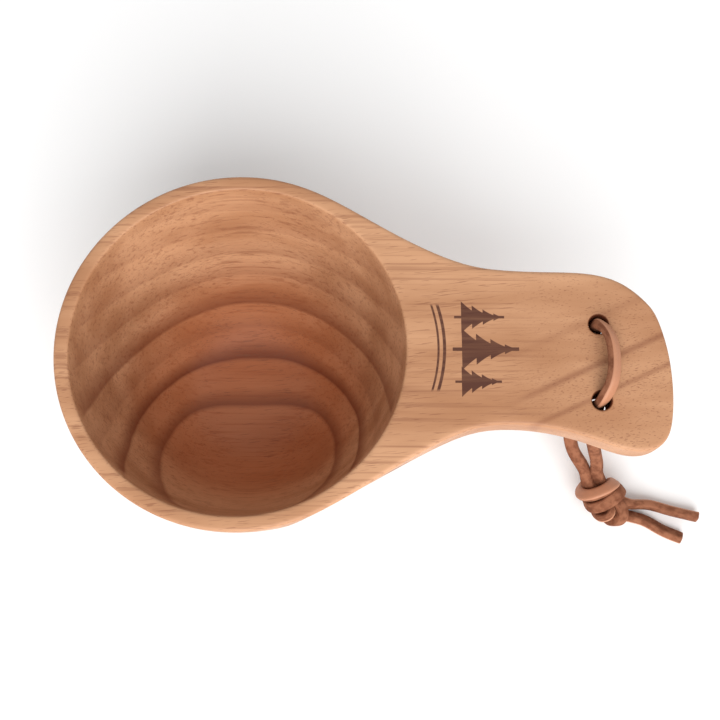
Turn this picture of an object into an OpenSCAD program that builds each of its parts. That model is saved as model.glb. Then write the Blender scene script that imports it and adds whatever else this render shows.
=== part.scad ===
// A carved wooden drinking cup (kuksa): a round bowl and a flat paddle handle
// cut from one block, with a leather lace through two holes in the handle.
//
// Frame: +Z up, the origin at the centre of the foot that the cup stands on,
// +X along the handle. Millimetres.

/* [Bowl] */
// Inner diameter of the bowl at the rim
rim_inner_d = 84; // [80:1:88]
// Width of the rim
rim_t = 4; // [3.5:0.5:5]
// Height of the cup
cup_h = 62; // [58:1:66]
// Thickness of the wood under the bowl
floor_t = 7; // [6:0.5:9]
// Diameter of the flat foot
foot_d = 44; // [40:1:50]

/* [Handle] */
// Distance from the bowl's axis to the handle's end
handle_reach = 108; // [104:1:112]
// Width of the handle at its neck
neck_w = 40; // [36:1:42]
// Thickness of the handle
handle_t = 10; // [9:0.5:12]
// How far the handle's near corner swells past the neck
corner_swell = 7; // [5:0.5:8]

/* [Lace] */
// Diameter of the two lace holes
hole_d = 4.8; // [4.6:0.1:5.4]
// Distance between the two lace holes
hole_gap = 19.5; // [18:0.5:21]
// Diameter of a round lace of the same section
lace_d = 3.2; // [2.8:0.1:3.4]

/* [Hidden] */

wood_colour = [0.80, 0.60, 0.44];
leather_colour = [0.66, 0.43, 0.32];
overlap = 1;

// Bowl: both profiles are the first part of a quarter ellipse, up to their arc's
// angle, so the wall still leans outwards a little where it meets the rim.
bowl_r = rim_inner_d / 2 + rim_t;
foot_r = foot_d / 2;
outer_arc = 70;
cavity_r = rim_inner_d / 2;
cavity_floor_r = 12;
cavity_arc = 72;
curve_steps = 20;

// Handle: the outline's corners, then the underside.
neck_x = 66;
neck_far_y = neck_w / 2 + 0.6;
neck_near_y = -neck_w / 2 + 0.6;
tip_x = handle_reach;
far_shoulder_x = tip_x - 19;
near_corner = [tip_x - 8.5, neck_near_y - corner_swell];
far_leave_angle = 61.5;
near_leave_angle = -55.5;
outline_bite = 2;
underside_z = cup_h - handle_t;
root_depth = 22;
root_x = bowl_r - 8;
root_len = 30;
root_half_w = 27;

// Lace holes, on a line across the handle that leans towards its near side.
hole_x = 90;
hole_mid_y = -3.75;
hole_far_y = hole_mid_y + hole_gap / 2;
hole_near_y = hole_mid_y - hole_gap / 2;

// Lace: the swing axis is just over half a lace's width below the handle.
lace_r = lace_d / 2;
lace_sides = 8;
swing_gap = 0.2;
swing_z = underside_z - lace_r - swing_gap;
arch_rise = 2.2;
arch_lean = 2.8;
lie_z = 1.7;

// Route of the lace over the handle, from the far hole's mouth to the near one's.
bridge_route = [
    [hole_x, hole_far_y, underside_z],
    [hole_x, hole_far_y, cup_h - 2],
    [hole_x + 0.5, hole_far_y - 0.6, cup_h + 0.9],
    [hole_x + arch_lean * 0.7, hole_far_y - 3.6, cup_h + lace_r + arch_rise * 0.7],
    [hole_x + arch_lean, hole_mid_y, cup_h + lace_r + arch_rise],
    [hole_x + arch_lean * 0.7, hole_near_y + 3.6, cup_h + lace_r + arch_rise * 0.7],
    [hole_x + 0.5, hole_near_y + 0.6, cup_h + 0.9],
    [hole_x, hole_near_y, cup_h - 2],
    [hole_x, hole_near_y, underside_z]
];

// Routes of the two strands from the swing axis down to the knot.
far_strand_route = [
    [hole_x, hole_far_y, swing_z],
    [89.6, 4.8, 44],
    [88.8, 1.5, 37],
    [88.2, -4, 30],
    [88, -10, 23.5],
    [89.6, -17, 17.5],
    [94, -23, 12.5],
    [97, -26, 9]
];
near_strand_route = [
    [hole_x, hole_near_y, swing_z],
    [90.6, -14, 44],
    [91.6, -14.8, 37],
    [92.8, -16, 30],
    [94.4, -17.6, 23.5],
    [96.2, -20.4, 17],
    [97.8, -24, 12],
    [99, -27, 9]
];

// Knot, and the routes of the two tails that lie on the table.
knot_centre = [100, -29, 6.2];
knot_size = [18.5, 15.5, 12.4];
knot_turn = -20;
long_tail_route = [
    [103, -28.6, 6],
    [108.5, -29, 3.4],
    [113.5, -30.2, lie_z],
    [119.5, -31.9, lie_z],
    [127, -33.7, lie_z]
];
short_tail_route = [
    [103.5, -31, 5.5],
    [108.5, -32.8, 3],
    [112.5, -35, lie_z],
    [116.5, -37.4, lie_z],
    [122, -39.7, lie_z]
];

// A bowl's profile, from r = start_r at z = low_z up to r = rim_r at the rim.
function bowl_curve(start_r, rim_r, low_z, arc) = [
    for (i = [0 : curve_steps])
        let (
            a = arc * i / curve_steps,
            out = sin(a) / sin(arc),
            up = (1 - cos(a)) / (1 - cos(arc))
        )
        [start_r + (rim_r - start_r) * out, low_z + (cup_h - low_z) * up]
];

// Half of the solid bowl's section, and half of its cavity's, which goes on above
// the rim.
function bowl_section() = concat(
    [[0, 0]], bowl_curve(foot_r, bowl_r, 0, outer_arc), [[0, cup_h]]
);
function cavity_section() = concat(
    [[0, floor_t]], bowl_curve(cavity_floor_r, cavity_r, floor_t, cavity_arc),
    [[cavity_r, cup_h + overlap], [0, cup_h + overlap]]
);

// A cubic curve from p[0] to p[3], without its last point.
function cubic(p, steps = 12) = [
    for (i = [0 : steps - 1])
        let (t = i / steps, s = 1 - t)
        s * s * s * p[0] + 3 * s * s * t * p[1] + 3 * s * t * t * p[2] + t * t * t * p[3]
];

function on_circle(r, a) = [r * cos(a), r * sin(a)];

// The handle's outline seen from above, clockwise from the far side of the bowl.
// It starts just inside the bowl's wall, so the two cross cleanly, narrows to the
// neck, and ends in a wide round far corner and a tighter near corner.
function handle_outline() =
    let (
        far_leave = on_circle(bowl_r - outline_bite, far_leave_angle),
        far_tangent = on_circle(30, far_leave_angle - 90),
        near_leave = on_circle(bowl_r - outline_bite, near_leave_angle),
        near_tangent = on_circle(18, near_leave_angle + 90)
    )
    concat(
        [[0, 0]],
        cubic([far_leave, far_leave + far_tangent,
            [neck_x - 11, neck_far_y + 0.6], [neck_x, neck_far_y]]),
        cubic([[neck_x, neck_far_y], [neck_x + 8, neck_far_y - 0.6],
            [far_shoulder_x - 8, neck_far_y], [far_shoulder_x, neck_far_y - 0.8]]),
        cubic([[far_shoulder_x, neck_far_y - 0.8], [tip_x - 9, neck_far_y - 1.8],
            [tip_x - 1.2, 9.5], [tip_x - 0.2, -4]]),
        cubic([[tip_x - 0.2, -4], [tip_x + 0.4, -16],
            [tip_x, near_corner.y - 0.3], near_corner]),
        cubic([near_corner, [near_corner.x - 7, near_corner.y + 0.2],
            [neck_x + 14, neck_near_y + 0.5], [neck_x, neck_near_y]]),
        cubic([[neck_x, neck_near_y], [neck_x - 12, neck_near_y],
            near_leave + near_tangent, near_leave]),
        [near_leave]
    );

// The handle seen from the side: flat on top, with an underside that sweeps down
// into the bowl's wall.
function handle_side() = concat(
    [[0, cup_h], [tip_x + overlap, cup_h], [tip_x + overlap, underside_z]],
    [for (i = [0 : curve_steps])
        let (a = 90 * i / curve_steps)
        [root_x + root_len * (1 - sin(a)), underside_z - root_depth * (1 - cos(a))]],
    [[0, underside_z - root_depth]]
);

// The handle seen from its end: a flat slab with a rounded keel under its middle,
// which is where the underside runs down into the bowl.
function handle_end() = concat(
    [[-bowl_r, underside_z], [-bowl_r, cup_h], [bowl_r, cup_h], [bowl_r, underside_z]],
    [for (i = [0 : curve_steps])
        let (a = 180 * i / curve_steps)
        [root_half_w * cos(a), underside_z - root_depth * sin(a)]]
);

// A closed tube along a route, with one ring of sides at each of its points. Each
// ring's radius is r times its entry in swell.
module tube(route, r, swell = []) {
    count = len(route);
    rings = [
        for (i = [0 : count - 1])
            let (
                ahead = route[min(i + 1, count - 1)] - route[max(i - 1, 0)],
                along = ahead / norm(ahead),
                // Any direction that no stretch of the lace runs along.
                side = cross(along, [1, 0.15, 0.1]),
                u = side / norm(side),
                v = cross(along, u)
            )
            for (k = [0 : lace_sides - 1])
                let (a = 360 * k / lace_sides)
                route[i] + r * (i < len(swell) ? swell[i] : 1) * (cos(a) * u + sin(a) * v)
    ];
    walls = [
        for (i = [0 : count - 2], k = [0 : lace_sides - 1])
            let (next = (k + 1) % lace_sides, low = i * lace_sides, high = low + lace_sides)
            each [[low + k, high + k, high + next], [low + k, high + next, low + next]]
    ];
    start_cap = [for (k = [0 : lace_sides - 1]) k];
    end_cap = [for (k = [lace_sides - 1 : -1 : 0]) (count - 1) * lace_sides + k];
    polyhedron(points = rings, faces = concat(walls, [start_cap, end_cap]), convexity = 4);
}

// A strand of the lace: a tube that hangs from the swing axis, with a round top
// about that axis, so it turns in place.
module strand(route) {
    cap_angles = [75, 50, 25];
    cap = [for (a = cap_angles) route[0] + [0, 0, lace_r * sin(a)]];
    tube(concat(cap, route), lace_r, [for (a = cap_angles) cos(a)]);
}

module lace_hole(y) {
    translate([hole_x, y, underside_z - overlap])
        cylinder(d = hole_d, h = handle_t + 2 * overlap, $fn = 48);
}

module cup() {
    color(wood_colour)
        difference() {
            union() {
                rotate_extrude($fn = 128) polygon(bowl_section());
                intersection() {
                    linear_extrude(height = cup_h) polygon(handle_outline());
                    translate([0, bowl_r, 0])
                        rotate([90, 0, 0])
                            linear_extrude(height = 2 * bowl_r) polygon(handle_side());
                    rotate([90, 0, 90])
                        linear_extrude(height = tip_x + overlap) polygon(handle_end());
                }
            }
            rotate_extrude($fn = 128) polygon(cavity_section());
            lace_hole(hole_far_y);
            lace_hole(hole_near_y);
        }
}

module lace_bridge() {
    color(leather_colour) tube(bridge_route, lace_r);
}

module lace_strand_far() {
    color(leather_colour) strand(far_strand_route);
}

module lace_strand_near() {
    color(leather_colour) strand(near_strand_route);
}

// The knot's outer shape, a slightly flattened ball that rests on the table.
module lace_knot() {
    color(leather_colour)
        translate(knot_centre)
            rotate([0, 0, knot_turn])
                scale(knot_size / 2) sphere(r = 1, $fn = 64);
}

module lace_tail_long() {
    color(leather_colour) tube(long_tail_route, lace_r);
}

module lace_tail_short() {
    color(leather_colour) tube(short_tail_route, lace_r);
}

cup();
lace_bridge();
lace_strand_far();
lace_strand_near();
lace_knot();
lace_tail_long();
lace_tail_short();
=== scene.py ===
"""A carved wooden drinking cup (kuksa) with a leather lace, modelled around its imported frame.

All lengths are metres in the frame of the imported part: +Z up, the origin at the centre of the cup's
foot, +X along the handle. The knot alone is solved in millimetres, in a frame of its own.
"""

import logging
import math
from collections.abc import Callable, Sequence
from dataclasses import dataclass
from enum import Enum

import bmesh
import bpy
import numpy as np
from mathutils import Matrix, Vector


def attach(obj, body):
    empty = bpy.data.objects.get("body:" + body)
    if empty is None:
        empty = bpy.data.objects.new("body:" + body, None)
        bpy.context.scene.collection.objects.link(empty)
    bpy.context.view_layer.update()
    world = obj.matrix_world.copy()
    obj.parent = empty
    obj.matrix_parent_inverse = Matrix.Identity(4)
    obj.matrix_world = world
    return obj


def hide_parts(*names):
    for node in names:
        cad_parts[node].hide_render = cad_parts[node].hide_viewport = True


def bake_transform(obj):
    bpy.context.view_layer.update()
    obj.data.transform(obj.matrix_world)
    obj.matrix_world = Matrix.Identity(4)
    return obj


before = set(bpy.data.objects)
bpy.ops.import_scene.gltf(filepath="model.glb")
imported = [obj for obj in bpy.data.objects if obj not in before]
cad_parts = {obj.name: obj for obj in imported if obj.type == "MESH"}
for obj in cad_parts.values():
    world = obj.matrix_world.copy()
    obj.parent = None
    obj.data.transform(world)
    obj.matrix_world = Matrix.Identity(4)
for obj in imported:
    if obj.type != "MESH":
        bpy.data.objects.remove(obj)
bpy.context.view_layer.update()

LOG = logging.getLogger("kuksa")
MM = 0.001
Point = tuple[float, float, float]
Value = object

# Shared by the cup, its finish and the lace: the handle's two faces and the two holes through it.
TOP_Z = 0.062
UNDERSIDE_Z = 0.052
HOLE_X = 0.090
FAR_HOLE_Y = 0.006
NEAR_HOLE_Y = -0.0135


# ---------------------------------------------------------------------------------------------
# Small helpers for meshes
# ---------------------------------------------------------------------------------------------


def deselect_all() -> None:
    """Leaves object mode with nothing selected."""
    if bpy.context.object is not None and bpy.context.object.mode != "OBJECT":
        bpy.ops.object.mode_set(mode="OBJECT")
    bpy.ops.object.select_all(action="DESELECT")


def make_active(piece: bpy.types.Object) -> None:
    """Selects one object alone and makes it the active one."""
    deselect_all()
    piece.select_set(True)
    bpy.context.view_layer.objects.active = piece


def select_where(
    piece: bpy.types.Object,
    kind: str,
    test: Callable[[object], bool],
) -> int:
    """Selects exactly the elements of the mesh in edit mode that pass a test.

    Args:
        piece: The object in edit mode.
        kind: "verts", "edges" or "faces".
        test: Says of one bmesh element whether it is selected.

    Returns:
        How many elements are selected.
    """
    bpy.context.tool_settings.mesh_select_mode = (kind == "verts", kind == "edges", kind == "faces")
    bpy.ops.mesh.select_all(action="DESELECT")
    mesh = bmesh.from_edit_mesh(piece.data)
    chosen = [element for element in getattr(mesh, kind) if test(element)]
    for element in chosen:
        element.select_set(True)
    mesh.select_flush_mode()
    bmesh.update_edit_mesh(piece.data)
    return len(chosen)


def apply_modifier(piece: bpy.types.Object, kind: str, **settings: Value) -> None:
    """Adds a modifier with these settings to a piece and applies it at once."""
    make_active(piece)
    modifier = piece.modifiers.new(kind.lower(), kind)
    for name, value in settings.items():
        setattr(modifier, name, value)
    bpy.ops.object.modifier_apply(modifier=modifier.name)


def turn_body(
    name: str,
    levels: Sequence[tuple[float, float]],
    columns: int,
    centre: tuple[float, float] = (0.0, 0.0),
) -> bpy.types.Object:
    """Turns a closed body: a disc is extruded from level to level and scaled to each radius.

    Args:
        name: The new object's name.
        levels: Radius and height of each ring, from the bottom disc round to the last one.
        columns: Sides of every ring.
        centre: The axis's place in the ground plane.

    Returns:
        The new object, in edit mode.
    """
    deselect_all()
    radius, height = levels[0]
    bpy.ops.mesh.primitive_circle_add(
        vertices=columns, radius=radius, fill_type="NGON", location=(0, 0, 0)
    )
    body = bpy.context.object
    body.name = body.data.name = name
    bpy.ops.object.mode_set(mode="EDIT")
    bpy.ops.mesh.select_all(action="SELECT")
    bpy.ops.transform.translate(value=(*centre, height))
    for next_radius, next_height in levels[1:]:
        rise = (0, 0, next_height - height)
        bpy.ops.mesh.extrude_region_move(TRANSFORM_OT_translate={"value": rise})
        share = next_radius / radius
        bpy.ops.transform.resize(value=(share, share, 1), center_override=(*centre, next_height))
        radius, height = next_radius, next_height
    bpy.ops.mesh.select_all(action="SELECT")
    bpy.ops.mesh.normals_make_consistent(inside=False)
    return body


# ---------------------------------------------------------------------------------------------
# Small helpers for node trees
# ---------------------------------------------------------------------------------------------


def srgb(red: int, green: int, blue: int) -> tuple[float, float, float, float]:
    """The linear colour, with full alpha, of an 8-bit sRGB one."""
    parts = [channel / 255 for channel in (red, green, blue)]
    linear = [p / 12.92 if p <= 0.04045 else ((p + 0.055) / 1.055) ** 2.4 for p in parts]
    return (*linear, 1.0)


class Graph:
    """One node tree, with short calls that add a node, link it and give back an output."""

    def __init__(self, tree: bpy.types.NodeTree) -> None:
        """Works on this tree, from empty."""
        self.tree = tree
        tree.nodes.clear()

    def add(self, kind: str, inputs: dict | None = None, **settings: Value) -> bpy.types.Node:
        """Adds a node.

        Args:
            kind: The node's type name without its ShaderNode prefix, or a full type name.
            inputs: What goes into its inputs, by name or index: a socket to link, or a value.
            settings: The node's own properties.

        Returns:
            The new node.
        """
        full = kind if kind.startswith("Node") else "ShaderNode" + kind
        node = self.tree.nodes.new(full)
        for name, value in settings.items():
            setattr(node, name, value)
        for key, value in (inputs or {}).items():
            if isinstance(value, bpy.types.NodeSocket):
                self.tree.links.new(value, node.inputs[key])
            else:
                node.inputs[key].default_value = value
        return node

    def maths(self, operation: str, a: Value, b: Value = 0.0, c: Value = 0.0) -> bpy.types.NodeSocket:
        """The output of a Math node."""
        return self.add("Math", {0: a, 1: b, 2: c}, operation=operation).outputs[0]

    def product(self, first: Value, *others: Value) -> bpy.types.NodeSocket:
        """All the values multiplied together."""
        for other in others:
            first = self.maths("MULTIPLY", first, other)
        return first

    def away(self, value: Value, middle: Value) -> bpy.types.NodeSocket:
        """How far a value is from a middle one, on either side."""
        return self.maths("ABSOLUTE", self.maths("SUBTRACT", value, middle))

    def radius(self, a: Value, b: Value) -> bpy.types.NodeSocket:
        """The distance from an axis of a point that is a and b away from it."""
        squares = self.maths("ADD", self.product(a, a), self.product(b, b))
        return self.maths("SQRT", squares)

    def step(self, value: Value, low: float, high: float) -> bpy.types.NodeSocket:
        """A smooth step from 0 at low to 1 at high; low may be the greater one."""
        inputs = {"Value": value, "From Min": low, "From Max": high}
        if low > high:
            inputs = {"Value": value, "From Min": high, "From Max": low, "To Min": 1.0, "To Max": 0.0}
        return self.add("MapRange", inputs, interpolation_type="SMOOTHSTEP").outputs[0]

    def place(
        self,
        vector: Value,
        scale: Point = (1, 1, 1),
        turn: Point = (0, 0, 0),
        shift: Point = (0, 0, 0),
    ) -> bpy.types.NodeSocket:
        """Coordinates scaled, then turned (in degrees), then shifted, by a Mapping node."""
        radians = tuple(math.radians(angle) for angle in turn)
        inputs = {"Vector": vector, "Scale": scale, "Rotation": radians, "Location": shift}
        return self.add("Mapping", inputs).outputs[0]

    def noise(self, vector: Value, scale: float, detail: float = 2.0) -> bpy.types.NodeSocket:
        """Soft noise from 0 to 1, with scale features a metre."""
        inputs = {"Vector": vector, "Scale": scale, "Detail": detail}
        return self.add("TexNoise", inputs).outputs["Fac"]

    def mix(self, share: Value, a: Value, b: Value) -> bpy.types.NodeSocket:
        """Colour a turned into colour b by a share."""
        return self.add("Mix", {0: share, 6: a, 7: b}, data_type="RGBA").outputs[2]

    def group(self, tree: bpy.types.NodeTree, inputs: dict) -> bpy.types.bpy_prop_collection:
        """Places a node group with these inputs and gives back its outputs."""
        return self.add("Group", inputs, node_tree=tree).outputs

    def finish(self, shader: bpy.types.Node) -> None:
        """Joins the shader to the material's output."""
        output = self.add("OutputMaterial")
        self.tree.links.new(shader.outputs[0], output.inputs["Surface"])

    def ramp(self, value: Value, stops: Sequence[tuple[float, float]]) -> bpy.types.NodeSocket:
        """A grey value read off a line through (place, height) stops, both from 0 to 1."""
        node = self.add("ValToRGB", {"Fac": value})
        elements = node.color_ramp.elements
        while len(elements) < len(stops):
            elements.new(1.0)
        for element, (place, height) in zip(elements, stops):
            element.position = place
            element.color = (height, height, height, 1.0)
        return node.outputs["Color"]


def effect_group(
    name: str,
    inputs: dict[str, tuple[str, Value]],
    outputs: dict[str, str],
) -> tuple[bpy.types.NodeTree, Graph, bpy.types.Node, bpy.types.Node]:
    """A new shader node group with named inputs and outputs.

    Args:
        name: The group's name.
        inputs: Type and default of each input, by name.
        outputs: Type of each output, by name.

    Returns:
        The group, its graph, and its input and output nodes.
    """
    tree = bpy.data.node_groups.new(name, "ShaderNodeTree")
    for label, (kind, default) in inputs.items():
        socket = tree.interface.new_socket(label, in_out="INPUT", socket_type="NodeSocket" + kind)
        if default is not None:
            socket.default_value = default
    for label, kind in outputs.items():
        tree.interface.new_socket(label, in_out="OUTPUT", socket_type="NodeSocket" + kind)
    graph = Graph(tree)
    return tree, graph, graph.add("NodeGroupInput"), graph.add("NodeGroupOutput")


# ---------------------------------------------------------------------------------------------
# Finishes
# ---------------------------------------------------------------------------------------------


@dataclass(frozen=True)
class GrowthRing:
    """One dark latewood line of the log.

    Its radius is the distance from the log's pith, its strength is from 0 to 1, and its fade is the
    distance over which it builds up. Outwards it ends in a crisp edge.
    """

    radius: float
    strength: float
    fade: float


@dataclass(frozen=True)
class WoodGrain:
    """The effects of one log: its growth rings and its pores.

    The pith runs along X, above the cup and behind it, so the rings lie as tilted layers in the bowl.
    """

    pith_y: float = 0.0618
    pith_z: float = 0.0936
    # The rings' waves: their height, their stretch along the grain and how many lie in a metre.
    wobble: float = 0.0022
    wave_stretch: float = 0.7
    wave_fineness: float = 38.0
    # Each ring's crisp edge, and the least and greatest distance from the pith that the ramp covers.
    ring_edge: float = 0.0006
    ring_low: float = 0.030
    ring_high: float = 0.140
    # The pores: the grain's turn in degrees, their fineness, and the noise level that they begin at.
    pore_turn: float = -6.0
    pore_fineness: float = 3600.0
    pore_level: float = 0.74
    pore_softness: float = 0.07
    amount_gain: float = 0.16
    # Patches with more and fewer pores.
    patch_stretch: float = 0.5
    patch_fineness: float = 90.0
    patch_gain: float = 0.25
    rings: tuple[GrowthRing, ...] = (
        GrowthRing(0.0460, 0.20, 0.0060),
        GrowthRing(0.0560, 0.22, 0.0070),
        GrowthRing(0.0660, 0.28, 0.0070),
        GrowthRing(0.0750, 0.35, 0.0060),
        GrowthRing(0.0856, 0.75, 0.0060),
        GrowthRing(0.0930, 0.25, 0.0040),
        GrowthRing(0.0996, 1.00, 0.0035),
        GrowthRing(0.1074, 0.85, 0.0030),
        GrowthRing(0.1200, 0.70, 0.0015),
        GrowthRing(0.1290, 0.80, 0.0060),
    )

    def ring_group(self) -> bpy.types.NodeTree:
        """A group that gives each point's latewood, from 0 to 1, by its distance from the pith."""
        tree, graph, given, result = effect_group(
            "growth_rings", {"Vector": ("Vector", None)}, {"Latewood": "Float"}
        )
        parts = graph.add("SeparateXYZ", {0: given.outputs["Vector"]}).outputs
        across = graph.maths("SUBTRACT", parts["Y"], self.pith_y)
        up = graph.maths("SUBTRACT", parts["Z"], self.pith_z)
        drawn = graph.place(given.outputs["Vector"], (self.wave_stretch, 1, 1))
        waves = graph.noise(drawn, self.wave_fineness)
        offset = graph.product(graph.maths("SUBTRACT", waves, 0.5), self.wobble)
        radius = graph.maths("ADD", graph.radius(across, up), offset)
        span = self.ring_high - self.ring_low
        inputs = {"Value": radius, "From Min": self.ring_low, "From Max": self.ring_high}
        share = graph.add("MapRange", inputs).outputs[0]
        stops = [(0.0, 0.0)]
        for ring in self.rings:
            place = (ring.radius - self.ring_low) / span
            stops.append((place - ring.fade / span, 0.0))
            stops.append((place, ring.strength))
            stops.append((place + self.ring_edge / span, 0.0))
        grey = graph.ramp(share, stops)
        graph.tree.links.new(grey, result.inputs["Latewood"])
        return tree

    def pore_group(self) -> bpy.types.NodeTree:
        """A group that gives the pores: long streaks along the grain and dots where it is cut across."""
        tree, graph, given, result = effect_group(
            "wood_pores",
            {"Vector": ("Vector", None), "Length": ("Float", 0.006), "Amount": ("Float", 0.5)},
            {"Pores": "Float"},
        )
        turned = graph.place(given.outputs["Vector"], turn=(0, 0, self.pore_turn))
        parts = graph.add("SeparateXYZ", {0: turned}).outputs
        along = graph.maths("DIVIDE", parts["X"], given.outputs["Length"])
        y_fine = graph.product(parts["Y"], self.pore_fineness)
        z_fine = graph.product(parts["Z"], self.pore_fineness)
        fine = graph.add("CombineXYZ", {0: along, 1: y_fine, 2: z_fine}).outputs[0]
        speckle = graph.noise(fine, 1.0, 1.0)
        drawn = graph.place(given.outputs["Vector"], (self.patch_stretch, 1, 1))
        patches = graph.maths("SUBTRACT", graph.noise(drawn, self.patch_fineness), 0.5)
        level = graph.maths("MULTIPLY_ADD", given.outputs["Amount"], -self.amount_gain, self.pore_level)
        level = graph.maths("MULTIPLY_ADD", patches, -self.patch_gain, level)
        depth = graph.maths("SUBTRACT", speckle, level)
        pores = graph.step(depth, 0.0, self.pore_softness)
        graph.tree.links.new(pores, result.inputs["Pores"])
        return tree


@dataclass(frozen=True)
class Spruce:
    """One burned spruce of the handle's mark: where its trunk stands, its height and its width."""

    foot_x: float
    foot_y: float
    height: float
    width: float


@dataclass(frozen=True)
class GroundLine:
    """One burned line under the spruces: where it crosses the handle's middle, and half its width."""

    x: float
    half_width: float


@dataclass(frozen=True)
class BurnedMark:
    """A plain burned mark of three spruces on a hill, which points along the handle."""

    edge: float = 0.00018
    # A spruce: its tiers, how deep they are cut, its bare trunk's share of the height, and half the
    # trunk's share of the width.
    tiers: float = 4.0
    tooth_depth: float = 0.42
    bare_trunk: float = 0.14
    trunk_half: float = 0.05
    # The ground lines: how they bow, in X for each square metre of Y, and where they fade out.
    bow: float = -14.0
    line_end: float = 0.0115
    line_fade: float = 0.0010
    lines: tuple[GroundLine, ...] = (GroundLine(0.0515, 0.00030), GroundLine(0.0500, 0.00018))
    # How far under the top face the mark begins to show, and where it is whole.
    fade_low: float = 0.0006
    fade_high: float = 0.0003
    spruces: tuple[Spruce, ...] = (
        Spruce(0.0535, -0.0005, 0.0165, 0.0110),
        Spruce(0.0540, -0.0088, 0.0115, 0.0080),
        Spruce(0.0540, 0.0078, 0.0125, 0.0085),
    )

    def spruce_group(self) -> bpy.types.NodeTree:
        """A group that gives 1 inside one spruce, which has its tiers cut in saw teeth."""
        tree, graph, given, result = effect_group(
            "spruce",
            {
                "Vector": ("Vector", None),
                "Foot X": ("Float", 0.0),
                "Foot Y": ("Float", 0.0),
                "Height": ("Float", 0.016),
                "Width": ("Float", 0.010),
            },
            {"Mask": "Float"},
        )
        parts = graph.add("SeparateXYZ", {0: given.outputs["Vector"]}).outputs
        rise = graph.maths("SUBTRACT", parts["X"], given.outputs["Foot X"])
        share = graph.maths("DIVIDE", rise, given.outputs["Height"])
        side = graph.away(parts["Y"], given.outputs["Foot Y"])
        above_trunk = graph.maths("SUBTRACT", share, self.bare_trunk)
        crown = graph.maths("DIVIDE", above_trunk, 1 - self.bare_trunk)
        tooth = graph.maths("FRACT", graph.product(crown, self.tiers))
        narrow = graph.maths("SUBTRACT", 1.0, crown)
        toothed = graph.maths("MULTIPLY_ADD", tooth, -self.tooth_depth, 1.0)
        in_crown = graph.maths("GREATER_THAN", crown, 0.0)
        half = graph.product(narrow, toothed, given.outputs["Width"], 0.5, in_crown)
        half = graph.maths("MAXIMUM", half, graph.product(given.outputs["Width"], self.trunk_half))
        inside = graph.step(graph.maths("SUBTRACT", half, side), 0.0, self.edge)
        above = graph.maths("GREATER_THAN", share, 0.0)
        below = graph.maths("LESS_THAN", share, 1.0)
        mask = graph.product(inside, above, below)
        graph.tree.links.new(mask, result.inputs["Mask"])
        return tree

    def mask(self, graph: Graph, vector: Value) -> bpy.types.NodeSocket:
        """The burned places, from 0 to 1, on the top face of the handle.

        Args:
            graph: The material's graph.
            vector: Object coordinates.

        Returns:
            The socket that holds the mask.
        """
        group = self.spruce_group()
        parts = graph.add("SeparateXYZ", {0: vector}).outputs
        whole: Value = 0.0
        for spruce in self.spruces:
            inputs = {
                "Vector": vector,
                "Foot X": spruce.foot_x,
                "Foot Y": spruce.foot_y,
                "Height": spruce.height,
                "Width": spruce.width,
            }
            whole = graph.maths("MAXIMUM", whole, graph.group(group, inputs)["Mask"])
        bow = graph.product(parts["Y"], parts["Y"], self.bow)
        reach = graph.step(graph.away(parts["Y"], 0.0), self.line_end, self.line_end - self.line_fade)
        for line in self.lines:
            away = graph.away(parts["X"], graph.maths("ADD", bow, line.x))
            drawn = graph.step(away, line.half_width + self.edge, line.half_width)
            whole = graph.maths("MAXIMUM", whole, graph.product(drawn, reach))
        on_top = graph.step(parts["Z"], TOP_Z - self.fade_low, TOP_Z - self.fade_high)
        return graph.product(whole, on_top)


@dataclass(frozen=True)
class PaddleBand:
    """One soft dark band across the paddle: where it crosses the reference line, width and strength."""

    offset: float
    half_width: float
    strength: float


@dataclass(frozen=True)
class Figure:
    """Noise drawn out along the grain, cut by a soft step where it has one."""

    stretch: float
    fineness: float
    detail: float = 2.0
    cut: tuple[float, float] | None = None

    def mask(self, graph: Graph, place: Value, turn: Point) -> bpy.types.NodeSocket:
        """The figure at each point, from 0 to 1.

        Args:
            graph: The material's graph.
            place: Object coordinates.
            turn: The grain's turn, in degrees.

        Returns:
            The socket that holds the figure.
        """
        drawn = graph.place(place, (self.stretch, 1, 1), turn)
        noise = graph.noise(drawn, self.fineness, self.detail)
        return graph.step(noise, *self.cut) if self.cut else noise


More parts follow.
